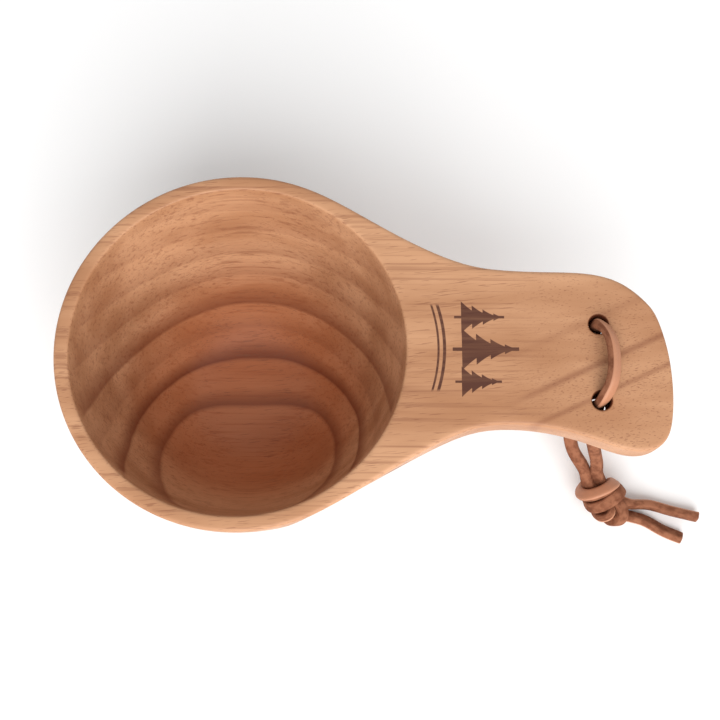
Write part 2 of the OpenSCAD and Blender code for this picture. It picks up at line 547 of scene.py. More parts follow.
@dataclass(frozen=True)
class OiledWood:
    """Pale brown wood with an oiled, satin surface."""

    grain: WoodGrain = WoodGrain()
    mark: BurnedMark = BurnedMark()

    light: tuple = srgb(204, 155, 118)
    dark: tuple = srgb(170, 120, 85)
    latewood: tuple = srgb(104, 43, 22)
    # Painted shade: the darker, redder tone of the cavity's shaded floor.
    painted_cavity_shade: tuple = srgb(178, 92, 46)
    pore: tuple = srgb(128, 78, 54)
    burned: tuple = srgb(74, 38, 28)
    bored: tuple = srgb(96, 48, 32)
    # How much of each layer shows over the ones below it.
    fibre_share: float = 0.35
    streak_share: float = 0.45
    # How much of the painted cavity shade shows.
    painted_cavity_shade_share: float = 0.55
    latewood_share: float = 0.78
    pore_share: float = 0.50
    bored_share: float = 0.90
    burned_most: float = 0.95

    tone_figure: Figure = Figure(0.22, 85.0, 3.0, (0.32, 0.70))
    fibre_figure: Figure = Figure(0.05, 900.0)
    streak_figure: Figure = Figure(0.02, 1100.0, 2.0, (0.50, 0.72))
    # Each kind of pore: its length along the grain, and how many there are, from 0 to 1.
    long_pores: tuple[float, float] = (0.0055, 0.70)
    end_pores: tuple[float, float] = (0.0009, 0.75)
    # Where along X the long pores give way to the end grain's dots, and the paddle's bands begin.
    end_grain: tuple[float, float] = (0.062, 0.084)
    band_start: tuple[float, float] = (0.062, 0.080)
    # The rings fade out between these heights, just under the rim.
    ring_fade: tuple[float, float] = (0.0615, 0.0550)

    # Painted shade deep in the cavity, darker and redder towards its floor: its heights, and the radius
    # that holds the cavity but not the outside.
    painted_shade_floor: float = 0.005
    painted_shade_fade: tuple[float, float] = (0.036, 0.008)
    cavity_r: float = 0.0115
    cavity_flare: float = 0.15

    # The drilled holes' rough walls: how far they reach from the axis, and over what they fade.
    hole_reach: float = 0.0028
    hole_fade: float = 0.0003

    band_slope: float = 0.46
    bands: tuple[PaddleBand, ...] = (
        PaddleBand(-0.0455, 0.0016, 0.55),
        PaddleBand(-0.0535, 0.0013, 0.45),
        PaddleBand(-0.0335, 0.0020, 0.20),
    )

    # The surface.
    roughness: float = 0.42
    tone_roughness: float = 0.08
    raw_roughness: float = 0.25
    gloss: float = 0.35
    ior: float = 1.46
    pore_depth: float = 0.6
    burned_depth: float = 0.8
    fibre_height: float = 0.25
    bump_strength: float = 0.25
    bump_distance: float = 0.0002

    def paddle_bands(self, graph: Graph, parts: Value) -> bpy.types.NodeSocket:
        """The slanting bands where the handle's end cuts the rings at a flat angle, from 0 to 1."""
        tilted = graph.maths("MULTIPLY_ADD", parts["X"], -self.band_slope, parts["Y"])
        whole: Value = 0.0
        for band in self.bands:
            away = graph.away(tilted, band.offset)
            soft = graph.product(graph.step(away, band.half_width, 0.0), band.strength)
            whole = graph.maths("MAXIMUM", whole, soft)
        return graph.product(whole, graph.step(parts["X"], *self.band_start))

    def paint_cavity_shade(self, graph: Graph, parts: Value) -> bpy.types.NodeSocket:
        """Painted shade in the cavity, from 0 to 1, by its depth below the rim: darker and redder towards
        the floor, where the hollow lies in shade.
        """
        root = graph.maths("SQRT", parts["Z"])
        reach = graph.maths("MULTIPLY_ADD", root, self.cavity_flare, self.cavity_r)
        within = graph.maths("LESS_THAN", graph.radius(parts["X"], parts["Y"]), reach)
        above_floor = graph.maths("GREATER_THAN", parts["Z"], self.painted_shade_floor)
        return graph.product(within, above_floor, graph.step(parts["Z"], *self.painted_shade_fade))

    def drilled(self, graph: Graph, parts: Value) -> bpy.types.NodeSocket:
        """The rough end grain of the two drilled holes, from 0 to 1."""
        across = graph.maths("SUBTRACT", parts["X"], HOLE_X)
        whole: Value = 0.0
        for hole_y in (FAR_HOLE_Y, NEAR_HOLE_Y):
            away = graph.radius(across, graph.maths("SUBTRACT", parts["Y"], hole_y))
            wall = graph.step(away, self.hole_reach, self.hole_reach - self.hole_fade)
            whole = graph.maths("MAXIMUM", whole, wall)
        return whole

    def pores(self, graph: Graph, place: Value, outer: Value) -> bpy.types.NodeSocket:
        """Long pores on the bowl and dots on the handle's end, by the share that is outer."""
        tree = self.grain.pore_group()
        kinds = []
        for length, amount in (self.long_pores, self.end_pores):
            inputs = {"Vector": place, "Length": length, "Amount": amount}
            kinds.append(graph.group(tree, inputs)["Pores"])
        return graph.mix(outer, *kinds)

    def material(self) -> bpy.types.Material:
        """The wood as a material."""
        material = bpy.data.materials.new("oiled_wood")
        material.use_nodes = True
        graph = Graph(material.node_tree)
        place = graph.add("TexCoord").outputs["Object"]
        parts = graph.add("SeparateXYZ", {0: place}).outputs

        rings = graph.group(self.grain.ring_group(), {"Vector": place})
        latewood = graph.product(rings["Latewood"], graph.step(parts["Z"], *self.ring_fade))
        latewood = graph.maths("MAXIMUM", latewood, self.paddle_bands(graph, parts))
        outer = graph.step(parts["X"], *self.end_grain)
        pore = self.pores(graph, place, outer)
        turn = (0, 0, self.grain.pore_turn)
        tone = self.tone_figure.mask(graph, place, turn)
        fibre = self.fibre_figure.mask(graph, place, turn)
        streak = self.streak_figure.mask(graph, place, turn)
        near_bowl = graph.maths("SUBTRACT", 1.0, outer)
        burned = self.mark.mask(graph, place)
        scorch = graph.maths("MINIMUM", graph.maths("MULTIPLY_ADD", fibre, -0.5, 1.15), self.burned_most)
        drilled = self.drilled(graph, parts)

        colour = graph.mix(tone, self.light, self.dark)
        for mask, share, layer in (
            (fibre, self.fibre_share, self.dark),
            (graph.product(streak, near_bowl), self.streak_share, self.pore),
            # The cavity's painted shade, darker and redder towards its floor.
            (self.paint_cavity_shade(graph, parts), self.painted_cavity_shade_share, self.painted_cavity_shade),
            (latewood, self.latewood_share, self.latewood),
            (pore, self.pore_share, self.pore),
            (burned, scorch, self.burned),
            (drilled, self.bored_share, self.bored),
        ):
            colour = graph.mix(graph.product(mask, share), colour, layer)

        rough = graph.maths("MULTIPLY_ADD", tone, self.tone_roughness, self.roughness)
        raw = graph.maths("MAXIMUM", burned, drilled)
        rough = graph.maths("MULTIPLY_ADD", raw, self.raw_roughness, rough)
        height = graph.product(fibre, self.fibre_height)
        height = graph.maths("MULTIPLY_ADD", pore, -self.pore_depth, height)
        height = graph.maths("MULTIPLY_ADD", burned, -self.burned_depth, height)
        relief = {"Height": height, "Strength": self.bump_strength, "Distance": self.bump_distance}
        shader = graph.add(
            "BsdfPrincipled",
            {
                "Base Color": colour,
                "Roughness": rough,
                "Normal": graph.add("Bump", relief).outputs[0],
                "IOR": self.ior,
                "Specular IOR Level": graph.maths("MULTIPLY_ADD", drilled, -self.gloss, self.gloss),
            },
        )
        graph.finish(shader)
        return material


@dataclass(frozen=True)
class LaceLeather:
    """Vegetable-tanned lace leather: a smooth pale grain face, and fibrous brown cut and flesh sides."""

    grain_face: tuple = srgb(186, 130, 99)
    suede_light: tuple = srgb(146, 96, 71)
    suede_dark: tuple = srgb(114, 69, 49)
    cut_end: tuple = srgb(160, 110, 84)
    # The grain face begins between these values of the lace's own attribute.
    face_start: tuple[float, float] = (0.45, 0.60)
    # The fibrous sides: fine fuzz drawn out along the lace, broad blotches, and the light nap on them.
    fuzz_stretch: float = 0.35
    fuzz_fineness: float = 2600.0
    blotch_fineness: float = 420.0
    nap: tuple[float, float] = (0.60, 1.0)
    fuzz_share: float = 0.6
    # The grain face's pores, how much they darken it, and how deep they are beside the fuzz.
    pore_fineness: float = 1400.0
    pore_share: float = 0.22
    pore_depth: float = 0.4
    cut_share: float = 0.8
    # The surface: the fibrous sides' roughness and gloss, and what the grain face adds to them.
    roughness: float = 0.85
    face_roughness: float = -0.30
    gloss: float = 0.10
    face_gloss: float = 0.30
    bump_strength: float = 0.5
    bump_distance: float = 0.00015

    def material(self) -> bpy.types.Material:
        """The leather as a material; it reads the lace's own attributes and UV map."""
        material = bpy.data.materials.new("lace_leather")
        material.use_nodes = True
        graph = Graph(material.node_tree)
        along = graph.add("UVMap", uv_map=LaceTube.UV_NAME).outputs["UV"]
        place = graph.add("TexCoord").outputs["Object"]
        face = graph.add("Attribute", attribute_name=LaceTube.GRAIN_NAME).outputs["Fac"]
        cut = graph.add("Attribute", attribute_name=LaceTube.CUT_NAME).outputs["Fac"]
        smooth_side = graph.step(face, *self.face_start)
        drawn = graph.place(along, (1, self.fuzz_stretch, 1))
        fuzz = graph.noise(drawn, self.fuzz_fineness, 3.0)
        blotch = graph.noise(place, self.blotch_fineness)
        nap = graph.step(graph.maths("ADD", graph.product(fuzz, self.fuzz_share), blotch), *self.nap)
        pores = graph.noise(along, self.pore_fineness)
        grain_colour = graph.mix(graph.product(pores, self.pore_share), self.grain_face, self.suede_light)
        colour = graph.mix(nap, self.suede_dark, self.suede_light)
        colour = graph.mix(smooth_side, colour, grain_colour)
        colour = graph.mix(graph.product(cut, self.cut_share), colour, self.cut_end)
        height = graph.mix(smooth_side, fuzz, graph.product(pores, self.pore_depth))
        relief = {"Height": height, "Strength": self.bump_strength, "Distance": self.bump_distance}
        shader = graph.add(
            "BsdfPrincipled",
            {
                "Base Color": colour,
                "Roughness": graph.maths("MULTIPLY_ADD", smooth_side, self.face_roughness, self.roughness),
                "Normal": graph.add("Bump", relief).outputs[0],
                "Specular IOR Level": graph.maths("MULTIPLY_ADD", smooth_side, self.face_gloss, self.gloss),
            },
        )
        graph.finish(shader)
        return material


@dataclass(frozen=True)
class PaperFloor:
    """A matt, nearly white studio floor, with faint clouds of a paler tone."""

    tone: float = 0.92
    paler: float = 0.015

    def material(self) -> bpy.types.Material:
        """The floor as a material."""
        material = bpy.data.materials.new("paper_floor")
        material.use_nodes = True
        graph = Graph(material.node_tree)
        place = graph.add("TexCoord").outputs["Object"]
        pale, paler = ((tone, tone, tone, 1.0) for tone in (self.tone, self.tone + self.paler))
        colour = graph.mix(graph.noise(place, 3.0), pale, paler)
        shader = graph.add("BsdfPrincipled", {"Base Color": colour, "Roughness": 0.9})
        graph.finish(shader)
        return material


# ---------------------------------------------------------------------------------------------
# The lace
# ---------------------------------------------------------------------------------------------


class Stretch(Enum):
    """The three stretches of the one lace, by name."""

    BRIDGE = "lace_bridge_strap"
    FAR = "lace_run_far"
    NEAR = "lace_run_near"


def lengths_along(points: np.ndarray) -> np.ndarray:
    """The distance along a line of points to each of them, from its first one."""
    return np.concatenate([[0.0], np.cumsum(np.linalg.norm(np.diff(points, axis=0), axis=1))])


def directions(points: np.ndarray) -> np.ndarray:
    """The unit direction of a line of points at each of them."""
    along = np.gradient(points, axis=0)
    return along / np.linalg.norm(along, axis=1)[:, None]


def smooth_route(route: Sequence[Sequence[float]], step: float) -> np.ndarray:
    """Points on a smooth curve through a route, about evenly spaced.

    Args:
        route: The points that the curve goes through.
        step: The distance between the new points.

    Returns:
        The new points, one a row.
    """
    points = np.asarray(route, float)
    at = lengths_along(points)
    slopes = np.gradient(points, at, axis=0)
    wanted = np.linspace(0.0, at[-1], max(2, round(at[-1] / step) + 1))
    low = np.clip(np.searchsorted(at, wanted, side="right") - 1, 0, len(points) - 2)
    gap = (at[low + 1] - at[low])[:, None]
    t = (wanted - at[low])[:, None] / gap
    return (
        (2 * t**3 - 3 * t**2 + 1) * points[low]
        + (t**3 - 2 * t**2 + t) * gap * slopes[low]
        + (3 * t**2 - 2 * t**3) * points[low + 1]
        + (t**3 - t**2) * gap * slopes[low + 1]
    )


def soften(points: np.ndarray, rounds: int) -> np.ndarray:
    """The points with each one moved towards its neighbours' middle, its two ends held."""
    for _ in range(rounds):
        middle = 0.25 * points[:-2] + 0.5 * points[1:-1] + 0.25 * points[2:]
        points = np.concatenate([points[:1], middle, points[-1:]])
    return points


@dataclass
class OverhandKnot:
    """Two laces tied together in one overhand knot and pulled snug, solved in millimetres.

    The knot's axis is its own X. Two chains of points start in a loose knot, their ends are drawn
    apart, and after each draw they are kept their length, bent fair and pushed clear of each other.
    """

    lace_r: float = 1.60
    lead: float = 26.0
    points: int = 90
    entry_off: float = 1.55
    loop_r: float = 4.9
    loop_pitch: float = 4.9
    steps: int = 500
    draw: float = 0.03
    fairing: float = 0.25
    pairing: float = 0.1
    stretch_limit: float = 1.035
    smoothing: int = 4

    def loose(self) -> np.ndarray:
        """The loose knot: two chains side by side, as one array of 2 x points x 3."""
        path = [(x, -self.entry_off, 0.0) for x in np.linspace(-self.lead, 1.0, 14)]
        side = [(0.0, 0.0, 1.0)] * len(path)
        path += [(3.6, -self.entry_off - 0.4, -0.3), (5.2, -self.entry_off - 1.8, -1.0)]
        side += [(0.15, 0.0, 0.95), (0.6, 0.0, 0.7)]
        for angle in np.arange(235, -1, -15):
            turn = math.radians(angle)
            at = self.loop_pitch * angle / 270
            path.append((at, self.loop_r * math.sin(turn), self.loop_r * math.cos(turn)))
            side.append((1.0, 0.0, 0.0))
        first, first_side = np.array(path), np.array(side)
        second = first[::-1][1:] * (-1, -1, 1)
        second_side = first_side[::-1][1:] * (1, 1, -1)
        middle = np.vstack([first, second])
        across = np.vstack([first_side, second_side])
        at = lengths_along(middle)
        even = np.linspace(0.0, at[-1], self.points)
        middle = np.stack([np.interp(even, at, middle[:, axis]) for axis in range(3)], -1)
        across = np.stack([np.interp(even, at, across[:, axis]) for axis in range(3)], -1)
        middle, across = soften(middle, 3), soften(across, 3)
        along = directions(middle)
        across -= along * (across * along).sum(1)[:, None]
        across /= np.linalg.norm(across, axis=1)[:, None]
        gap = 1.02 * self.lace_r
        return np.stack([middle + across * gap, middle - across * gap])

    def tie(self) -> np.ndarray:
        """The snug knot, as one array of 2 x points x 3."""
        chains = self.loose()
        count = self.points
        rest = np.linalg.norm(np.diff(chains, axis=1), axis=2).mean(1)[:, None, None]
        index = np.arange(2 * count)
        reach = math.ceil(2 * self.lace_r * 1.35 / rest.mean())
        same = index[:, None] // count == index[None, :] // count
        close = np.abs(index[:, None] % count - index[None, :] % count) <= reach
        first, second = np.triu_indices(2 * count, 1)
        apart = ~(same & close)[first, second]
        first, second = first[apart], second[apart]
        for _ in range(self.steps):
            chains[:, 0, 0] -= self.draw
            chains[:, -1, 0] += self.draw
            ends = chains[:, [0, -1]].copy()
            self.keep_length(chains, rest, ends)
            middle = 0.5 * (chains[:, :-2] + chains[:, 2:])
            chains[:, 1:-1] += self.fairing * (middle - chains[:, 1:-1])
            self.draw_pair(chains)
            self.push_clear(chains.reshape(-1, 3), first, second)
            chains[:, [0, -1]] = ends
            lengths = np.linalg.norm(np.diff(chains, axis=1), axis=2)
            if lengths.mean() > self.stretch_limit * rest.mean():
                break
        return np.stack([soften(chain, self.smoothing) for chain in chains])

    def keep_length(self, chains: np.ndarray, rest: np.ndarray, ends: np.ndarray) -> None:
        """Brings every link back to its rest length, with the ends held."""
        links = chains.shape[1] - 1
        for _ in range(8):
            for parity in (0, 1):
                link = chains[:, 1:] - chains[:, :-1]
                length = np.linalg.norm(link, axis=2, keepdims=True)
                turn = np.zeros((1, links, 1))
                turn[0, parity::2] = 1
                change = 0.5 * (length - rest) / length * link * turn
                chains[:, :-1] += change
                chains[:, 1:] -= change
            chains[:, [0, -1]] = ends

    def draw_pair(self, chains: np.ndarray) -> None:
        """Draws the two chains together where they are more than a lace's width apart."""
        gap = chains[0] - chains[1]
        distance = np.linalg.norm(gap, axis=1, keepdims=True)
        change = 0.5 * self.pairing * np.maximum(distance - 2 * self.lace_r, 0) / distance * gap
        chains[0] -= change
        chains[1] += change

    def push_clear(self, flat: np.ndarray, first: np.ndarray, second: np.ndarray) -> None:
        """Pushes apart any two points that are nearer than a lace's width."""
        width = 2 * self.lace_r
        for _ in range(4):
            gap = flat[first] - flat[second]
            distance = np.linalg.norm(gap, axis=1)
            hit = np.where(distance < width)[0]
            if len(hit):
                share = 0.35 * (width - distance[hit]) / np.maximum(distance[hit], 1e-6)
                push = share[:, None] * gap[hit]
                np.add.at(flat, first[hit], push)
                np.add.at(flat, second[hit], -push)


@dataclass
class LaceTube:
    """A stretch of lace as a mesh tube of rounded rectangular section along a line."""

    UV_NAME = "along_lace"
    GRAIN_NAME = "grain_face"
    CUT_NAME = "cut_end"

    width: float = 0.0034
    thickness: float = 0.0024
    sides: int = 20
    squareness: float = 0.45
    # The cut ends: their share of the section, and how far they stand out.
    end_share: float = 0.86
    end_round: float = 0.00018
    # The pull of the lace's flat onto the knot's surface: its strength, its reach from the knot's
    # centre, and the least distance from that centre at which it works.
    knot_pull: float = 0.12
    knot_reach: float = 0.012
    knot_core: float = 0.0015

    def facing(self, line: np.ndarray, first_up: Point, centre: np.ndarray | None) -> np.ndarray:
        """The way the grain face looks at each point.

        It is carried along the line without twist. In the knot it is also drawn outwards, so the
        lace's flat lies on the knot's surface.

        Args:
            line: The centreline's points.
            first_up: The way the grain face looks at the first point.
            centre: The knot's centre, or None where there is no knot.

        Returns:
            One unit vector for each point.
        """
        along = directions(line)
        up = np.array(first_up, float)
        ups = []
        for index, direction in enumerate(along):
            up = up - direction * (up @ direction)
            up /= np.linalg.norm(up)
            if centre is not None:
                out = line[index] - centre
                near = max(0.0, 1.0 - np.linalg.norm(out) / self.knot_reach)
                out = out - direction * (out @ direction)
                reach = np.linalg.norm(out)
                if reach > self.knot_core and near > 0:
                    out = out / reach * (1 if out @ up >= 0 else -1)
                    up = up + self.knot_pull * near * out
                    up /= np.linalg.norm(up)
            ups.append(up)
        return np.array(ups)

    def build(self, name: str, line: np.ndarray, ups: np.ndarray) -> bpy.types.Object:
        """The tube as an object, with its UV map and its grain and cut attributes.

        Args:
            name: The new object's name.
            line: The centreline's points.
            ups: The way the grain face looks at each point.

        Returns:
            The new object.
        """
        along = directions(line)
        side = np.cross(along, ups)
        at = lengths_along(line)
        angles = 2 * np.pi * (np.arange(self.sides) + 0.5) / self.sides
        power = self.squareness
        flat = np.sign(np.cos(angles)) * np.abs(np.cos(angles)) ** power
        high = np.sign(np.sin(angles)) * np.abs(np.sin(angles)) ** power
        uneven = 1 + 0.03 * np.sin(at * 310) + 0.02 * np.sin(at * 740 + 1)
        shapes = [(0, self.end_share, -self.end_round)]
        shapes += [(i, 1.0, 0.0) for i in range(len(line))]
        shapes += [(len(line) - 1, self.end_share, self.end_round)]
        verts, grain = [], []
        for i, share, shift in shapes:
            wide = 0.5 * self.width * share * uneven[i]
            thick = 0.5 * self.thickness * share
            centre = line[i] + shift * along[i]
            verts.append(centre + wide * flat[:, None] * side[i] + thick * high[:, None] * ups[i])
            grain.append(np.maximum(high, 0))
        count, sides = len(shapes), self.sides
        faces = [tuple(range(sides)), tuple(range(count * sides - 1, (count - 1) * sides - 1, -1))]
        for low in range(0, (count - 1) * sides, sides):
            for k in range(sides):
                after = (k + 1) % sides
                faces.append((low + k, low + sides + k, low + sides + after, low + after))
        mesh = bpy.data.meshes.new(name)
        mesh.from_pydata(np.concatenate(verts).tolist(), [], faces)
        mesh.attributes.new(self.GRAIN_NAME, "FLOAT", "POINT").data.foreach_set(
            "value", np.concatenate(grain).astype(np.float32)
        )
        cut = np.zeros((count, sides), np.float32)
        cut[[0, -1]] = 1.0
        mesh.attributes.new(self.CUT_NAME, "FLOAT", "POINT").data.foreach_set("value", cut.ravel())
        self.lay_uv(mesh, np.concatenate([[at[0]], at, [at[-1]]]))
        mesh.polygons.foreach_set("use_smooth", [len(p.vertices) == 4 for p in mesh.polygons])
        tube = bpy.data.objects.new(name, mesh)
        bpy.context.scene.collection.objects.link(tube)
        return tube

    def lay_uv(self, mesh: bpy.types.Mesh, at: np.ndarray) -> None:
        """Gives the tube a UV map in metres: round the section, then along the lace."""
        layer = mesh.uv_layers.new(name=self.UV_NAME)
        round_m = 2 * (self.width + self.thickness)
        for polygon in mesh.polygons:
            wraps = len(polygon.vertices) == 4
            columns = [v % self.sides for v in polygon.vertices]
            seam = wraps and max(columns) - min(columns) > 1
            for loop, vertex, column in zip(polygon.loop_indices, polygon.vertices, columns):
                turn = column + self.sides if seam and column == 0 else column
                layer.data[loop].uv = (round_m * turn / self.sides, at[vertex // self.sides])


@dataclass
class Lace:
    """The lace: a bridge over the handle, and two runs that go down, through the knot and out."""

    # Inside the holes: the height where bridge and runs meet, and how far from each mouth they bend.
    join_z: float = 0.0555
    bridge_bend: float = 0.0020
    run_bend: float = 0.0005
    # Where the runs' ride passes from the cup to the swinging lace.
    blend_top: float = 0.0535
    blend_low: float = 0.0470
    # The way the grain face looks where a stretch starts.
    bridge_up: Point = (0.45, 0.9, 0.0)
    run_up: Point = (0.3, 1, 0)
    diameter: float = 0.0032
    step: float = 0.0005
    # The knot: its place, its axis, its roll in degrees, half its length and its bend in millimetres.
    knot_centre: Point = (0.100, -0.029, 0.0071)
    knot_axis: Point = (0.72, -0.62, -0.28)
    knot_roll: float = 285.0
    knot_half: float = 7.0
    knot_bend_r: float = 18.0

    # The routes' points, from the holes to the knot and from the knot to the cut ends.
    bridge_middle: tuple[Point, ...] = (
        (0.0905, 0.0054, 0.0629),
        (0.09196, 0.0024, 0.06514),
        (0.0928, -0.00375, 0.0658),
        (0.09196, -0.0099, 0.06514),
        (0.0905, -0.0129, 0.0629),
    )
    far_strand: tuple[Point, ...] = (
        (0.0900, 0.0060, 0.0502),
        (0.0896, 0.0048, 0.0440),
        (0.0888, 0.0015, 0.0370),
        (0.0882, -0.0040, 0.0300),
        (0.0880, -0.0100, 0.0235),
        (0.0896, -0.0170, 0.0175),
        (0.0935, -0.0222, 0.0128),
    )
    near_strand: tuple[Point, ...] = (
        (0.0900, -0.0135, 0.0502),
        (0.0906, -0.0140, 0.0440),
        (0.0916, -0.0148, 0.0370),
        (0.0928, -0.0160, 0.0300),
        (0.0944, -0.0176, 0.0235),
        (0.0962, -0.0204, 0.0170),
    )
    long_tail: tuple[Point, ...] = (
        (0.1135, -0.0302, 0.0017),
        (0.1195, -0.0319, 0.0017),
        (0.1270, -0.0337, 0.0017),
    )
    short_tail: tuple[Point, ...] = (
        (0.1125, -0.0350, 0.0017),
        (0.1165, -0.0374, 0.0017),
        (0.1220, -0.0397, 0.0017),
    )

    def place_knot(self, chains: np.ndarray) -> list[np.ndarray]:
        """The solved knot's middle part, turned and moved to its place, in metres.

        Args:
            chains: The knot in its own frame, in millimetres.

        Returns:
            One array of points for each of the two chains.
        """
        roll = math.radians(self.knot_roll)
        turn = np.array(
            [[1, 0, 0], [0, math.cos(roll), -math.sin(roll)], [0, math.sin(roll), math.cos(roll)]]
        )
        axis = np.array(self.knot_axis) / np.linalg.norm(self.knot_axis)
        level = np.cross((0, 0, 1), axis)
        level /= np.linalg.norm(level)
        upper = np.cross(axis, level)
        own = np.stack([axis, level, upper])
        placed = []
        for chain in chains:
            kept = chain[slice(*self.inner_range(chain))] @ turn.T
            angle = kept[:, 0] / self.knot_bend_r
            radius = self.knot_bend_r - kept[:, 1]
            ahead = radius * np.sin(angle)
            left = self.knot_bend_r - radius * np.cos(angle)
            bent = np.stack([ahead, left, kept[:, 2]], -1)
            placed.append(bent @ own * MM + np.array(self.knot_centre))
        return placed

    def inner_range(self, chain: np.ndarray) -> tuple[int, int]:
        """First and last-plus-one index of the part between the knot's two sides."""
        before = np.where(chain[: len(chain) // 2, 0] < -self.knot_half)[0]
        after = np.where(chain[len(chain) // 2 :, 0] > self.knot_half)[0]
        first = before[-1] + 1 if len(before) else 0
        last = len(chain) // 2 + after[0] if len(after) else len(chain)
        return int(first), int(last)

    def run_line(self, hole_y: float, strand: tuple, inside: np.ndarray, tail: tuple) -> np.ndarray:
        """A run's centreline, from inside its hole down its strand, through the knot and along its tail."""
        head = [(HOLE_X, hole_y, self.join_z), (HOLE_X, hole_y, UNDERSIDE_Z + self.run_bend)]
        route = np.vstack([head, strand, inside, tail])
        return soften(smooth_route(route, self.step), 6)

    def build(self, leather: bpy.types.Material) -> list[bpy.types.Object]:
        """Args:
            leather: The lace's material.

        Returns:
            The three pieces.
        """
        tube = LaceTube()
        knot_far, knot_near = self.place_knot(OverhandKnot().tie())[::-1]
        centre = np.array(self.knot_centre)
        far_line = self.run_line(FAR_HOLE_Y, self.far_strand, knot_far, self.long_tail)
        near_line = self.run_line(NEAR_HOLE_Y, self.near_strand, knot_near, self.short_tail)
        bend_z = TOP_Z - self.bridge_bend
        down = [(HOLE_X, FAR_HOLE_Y, self.join_z), (HOLE_X, FAR_HOLE_Y, bend_z)]
        up = [(HOLE_X, NEAR_HOLE_Y, bend_z), (HOLE_X, NEAR_HOLE_Y, self.join_z)]
        bridge_line = smooth_route([*down, *self.bridge_middle, *up], self.step)

        bridge_ups = tube.facing(bridge_line, self.bridge_up, None)
        bridge = tube.build(Stretch.BRIDGE.value, bridge_line, bridge_ups)
        far = tube.build(Stretch.FAR.value, far_line, tube.facing(far_line, self.run_up, centre))
        near = tube.build(Stretch.NEAR.value, near_line, tube.facing(near_line, self.run_up, centre))

        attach(bridge, "cup")
        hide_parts("lace_bridge")
        for run in (far, near):
            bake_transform(run)
        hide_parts("lace_strand_far", "lace_knot", "lace_tail_long")
        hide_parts("lace_strand_near", "lace_tail_short")
        for piece in (bridge, far, near):
            piece.data.materials.append(leather)
        return [bridge, far, near]


# ---------------------------------------------------------------------------------------------
# The cup
# ---------------------------------------------------------------------------------------------


@dataclass(frozen=True)
class HandleSection:
    """A straight cut across the handle: its distance along X and its two edges."""

    x: float
    near_y: float
    far_y: float


@dataclass(frozen=True)
class TipPush:
    """A push outwards, along X, of the handle's end between two places along Y."""

    near_y: float
    far_y: float
    push: float


@dataclass(frozen=True)
class UndersideDrop:
    """One lowering of the underside's points: how far out and how far to each side it works."""

    reach: float
    half_width: float
    drop: float


